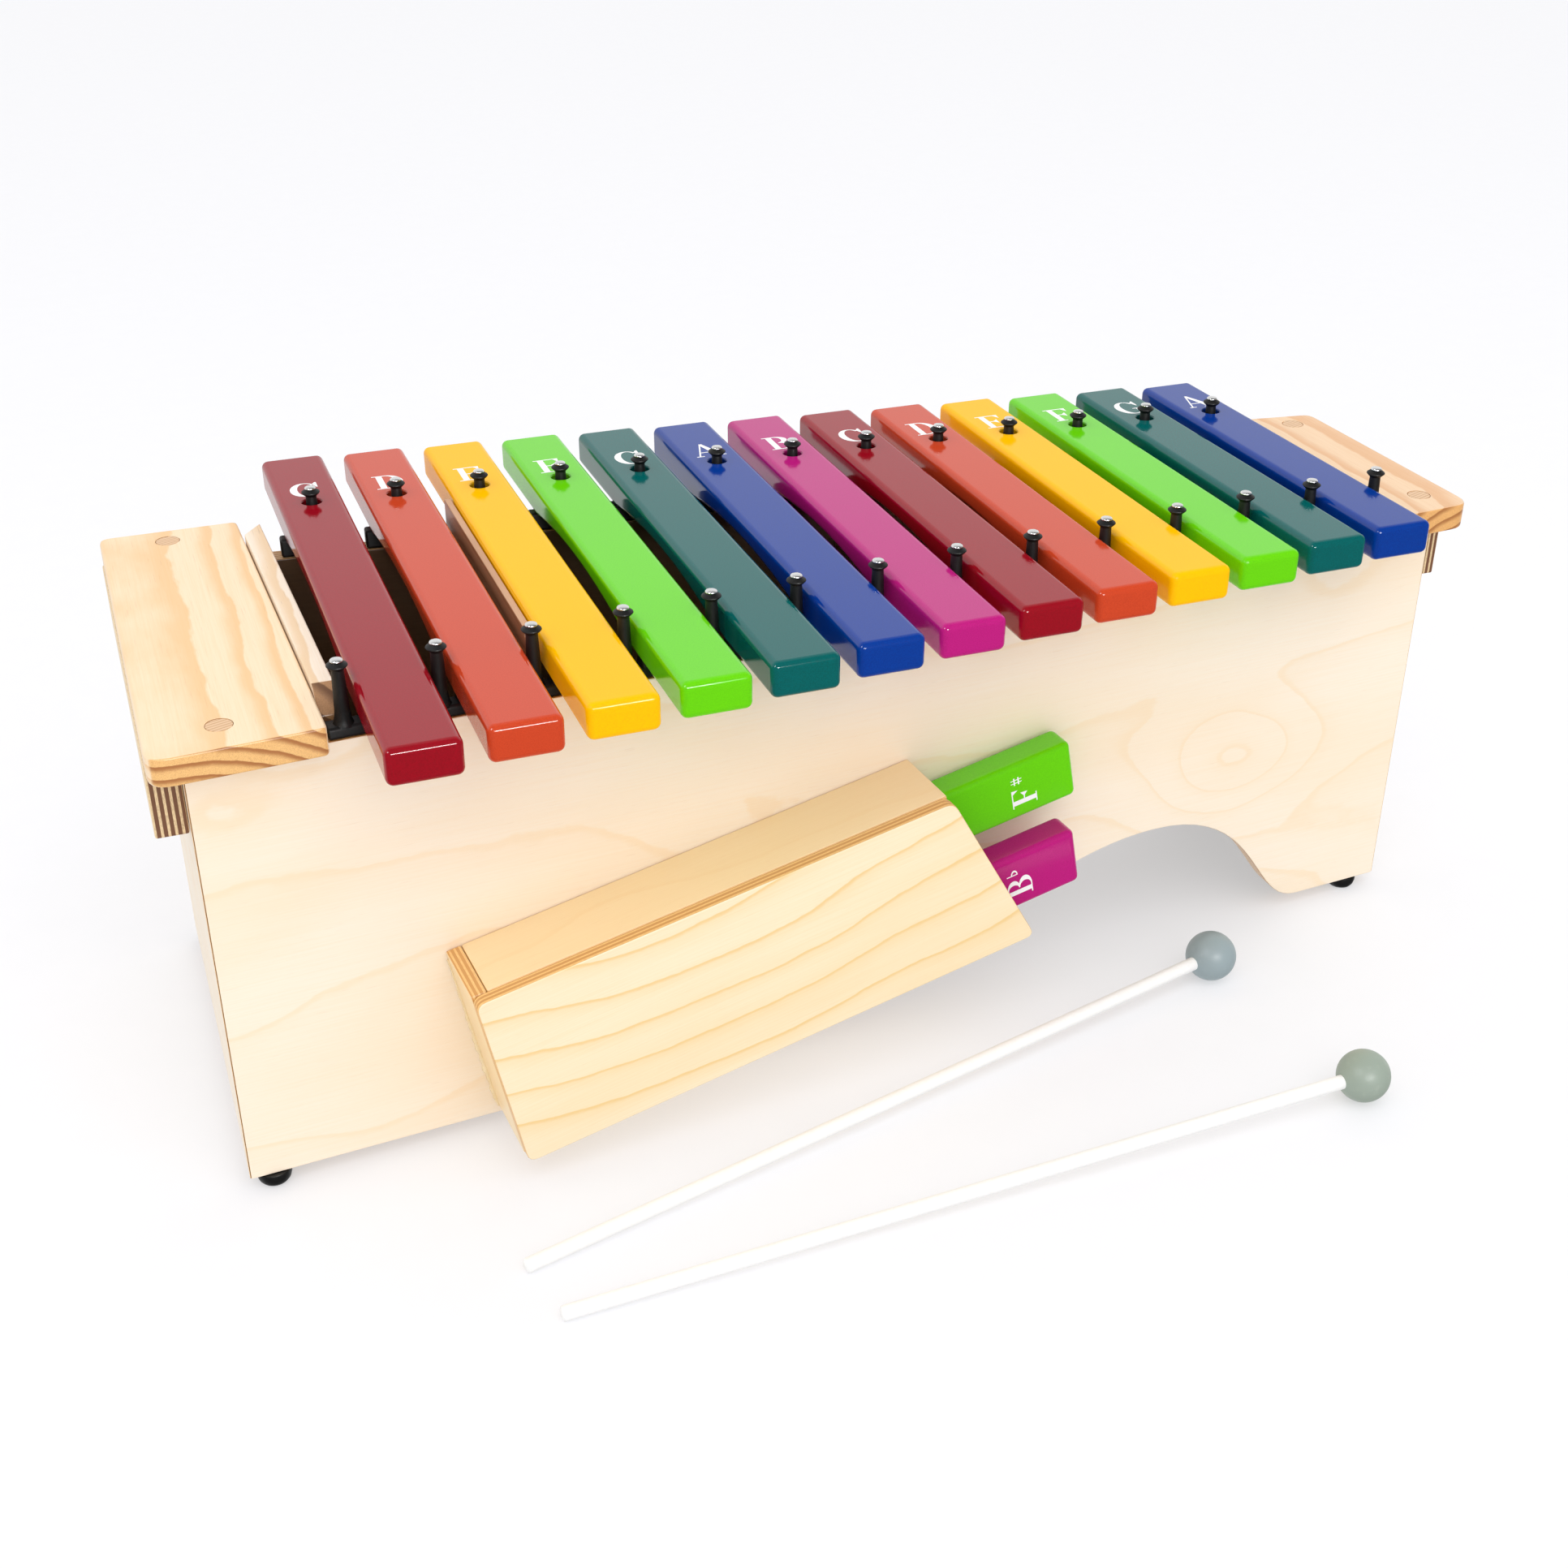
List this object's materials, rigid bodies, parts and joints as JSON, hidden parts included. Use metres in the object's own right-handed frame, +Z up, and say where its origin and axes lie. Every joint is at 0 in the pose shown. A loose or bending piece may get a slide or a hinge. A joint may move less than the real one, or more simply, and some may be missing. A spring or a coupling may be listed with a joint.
{
  "type": "alto xylophone",
  "caption": "Tabletop diatonic box xylophone: coloured tuned bars over a tapered plywood resonator, with a side rack for spare bars and a pair of mallets.",
  "frame": {"origin": "bottom centre of the bounding box, on the floor, mallets included", "axes": "+X towards the short treble bars, -Y towards the player, +Z up"},
  "size_m": [0.8184, 0.5064, 0.314],
  "materials": {
    "bar_red": "satin paint with a fine sparkle, on wood",
    "bar_orange": "satin paint with a fine sparkle, on wood",
    "bar_yellow": "satin paint with a fine sparkle, on wood",
    "bar_green": "satin paint with a fine sparkle, on wood",
    "bar_teal": "satin paint with a fine sparkle, on wood",
    "bar_blue": "satin paint with a fine sparkle, on wood",
    "bar_magenta": "satin paint with a fine sparkle, on wood",
    "birch_ply": "clear satin lacquer on birch plywood",
    "rack_ply": "clear satin lacquer on thin plywood",
    "pine": "clear satin lacquer on solid pine",
    "inner_wood": "bare sanded softwood",
    "black_rubber": "matte moulded",
    "stick_white": "smooth",
    "head_blue_grey": "matte",
    "head_green_grey": "matte",
    "bright_steel": "polished nail heads",
    "white_letter": "printed note names"
  },
  "bodies": {
    "case": {"front_panel": "birch_ply", "rear_panel": "birch_ply", "left_end_panel": "birch_ply", "right_end_panel": "birch_ply", "left_grip_batten": "birch_ply", "right_grip_batten": "birch_ply", "rack_top": "rack_ply", "rack_front": "rack_ply", "rack_bottom": "rack_ply", "rack_end": "rack_ply", "rack_divider": "rack_ply", "left_top_plate": "pine", "right_top_plate": "pine", "left_front_plug": "pine", "left_rear_plug": "pine", "right_front_plug": "pine", "right_rear_plug": "pine", "bottom_board": "inner_wood", "partition_1": "inner_wood", "partition_2": "inner_wood", "partition_3": "inner_wood", "side_fence": "inner_wood", "left_front_foot": "black_rubber", "left_rear_foot": "black_rubber", "right_front_foot": "black_rubber", "right_rear_foot": "black_rubber", "front_pin_strip": "black_rubber", "rear_rest_01": "black_rubber", "rear_rest_02": "black_rubber", "rear_rest_03": "black_rubber", "rear_rest_04": "black_rubber", "rear_rest_05": "black_rubber", "rear_rest_06": "black_rubber", "rear_rest_07": "black_rubber", "rear_rest_08": "black_rubber", "rear_rest_09": "black_rubber", "rear_rest_10": "black_rubber", "rear_rest_11": "black_rubber", "rear_rest_12": "black_rubber", "rear_rest_13": "black_rubber"},
    "bar_01": {"bar_01_c": "bar_red"},
    "bar_02": {"bar_02_d": "bar_orange"},
    "bar_03": {"bar_03_e": "bar_yellow"},
    "bar_04": {"bar_04_f": "bar_green"},
    "bar_05": {"bar_05_g": "bar_teal"},
    "bar_06": {"bar_06_a": "bar_blue"},
    "bar_07": {"bar_07_b": "bar_magenta"},
    "bar_08": {"bar_08_c": "bar_red"},
    "bar_09": {"bar_09_d": "bar_orange"},
    "bar_10": {"bar_10_e": "bar_yellow"},
    "bar_11": {"bar_11_f": "bar_green"},
    "bar_12": {"bar_12_g": "bar_teal"},
    "bar_13": {"bar_13_a": "bar_blue"},
    "spare_bar_f_sharp": {"spare_bar_f_sharp": "bar_green"},
    "spare_bar_b_flat": {"spare_bar_b_flat": "bar_magenta"},
    "mallet_1": {"mallet_1_stick": "stick_white", "mallet_1_head": "head_blue_grey"},
    "mallet_2": {"mallet_2_stick": "stick_white", "mallet_2_head": "head_green_grey"}
  },
  "joints": [
    {"name": "lift_bar_01", "type": "slide", "parent": "case", "child": "bar_01", "axis": [0, 0, 1], "range_m": [0, 0.05]},
    {"name": "lift_bar_02", "type": "slide", "parent": "case", "child": "bar_02", "axis": [0, 0, 1], "range_m": [0, 0.05]},
    {"name": "lift_bar_03", "type": "slide", "parent": "case", "child": "bar_03", "axis": [0, 0, 1], "range_m": [0, 0.05]},
    {"name": "lift_bar_04", "type": "slide", "parent": "case", "child": "bar_04", "axis": [0, 0, 1], "range_m": [0, 0.05]},
    {"name": "lift_bar_05", "type": "slide", "parent": "case", "child": "bar_05", "axis": [0, 0, 1], "range_m": [0, 0.05]},
    {"name": "lift_bar_06", "type": "slide", "parent": "case", "child": "bar_06", "axis": [0, 0, 1], "range_m": [0, 0.05]},
    {"name": "lift_bar_07", "type": "slide", "parent": "case", "child": "bar_07", "axis": [0, 0, 1], "range_m": [0, 0.05]},
    {"name": "lift_bar_08", "type": "slide", "parent": "case", "child": "bar_08", "axis": [0, 0, 1], "range_m": [0, 0.05]},
    {"name": "lift_bar_09", "type": "slide", "parent": "case", "child": "bar_09", "axis": [0, 0, 1], "range_m": [0, 0.05]},
    {"name": "lift_bar_10", "type": "slide", "parent": "case", "child": "bar_10", "axis": [0, 0, 1], "range_m": [0, 0.05]},
    {"name": "lift_bar_11", "type": "slide", "parent": "case", "child": "bar_11", "axis": [0, 0, 1], "range_m": [0, 0.05]},
    {"name": "lift_bar_12", "type": "slide", "parent": "case", "child": "bar_12", "axis": [0, 0, 1], "range_m": [0, 0.05]},
    {"name": "lift_bar_13", "type": "slide", "parent": "case", "child": "bar_13", "axis": [0, 0, 1], "range_m": [0, 0.05]},
    {"name": "slide_spare_bar_f_sharp", "type": "slide", "parent": "case", "child": "spare_bar_f_sharp", "axis": [0.979, 0.0675, 0.1925], "range_m": [0, 0.38]},
    {"name": "slide_spare_bar_b_flat", "type": "slide", "parent": "case", "child": "spare_bar_b_flat", "axis": [0.979, 0.0675, 0.1925], "range_m": [0, 0.36]},
    {"name": "lift_mallet_1", "type": "slide", "parent": "case", "child": "mallet_1", "axis": [0, -0.6, 0.8], "range_m": [0, 0.2]},
    {"name": "lift_mallet_2", "type": "slide", "parent": "case", "child": "mallet_2", "axis": [0, -0.6, 0.8], "range_m": [0, 0.2]}
  ]
}
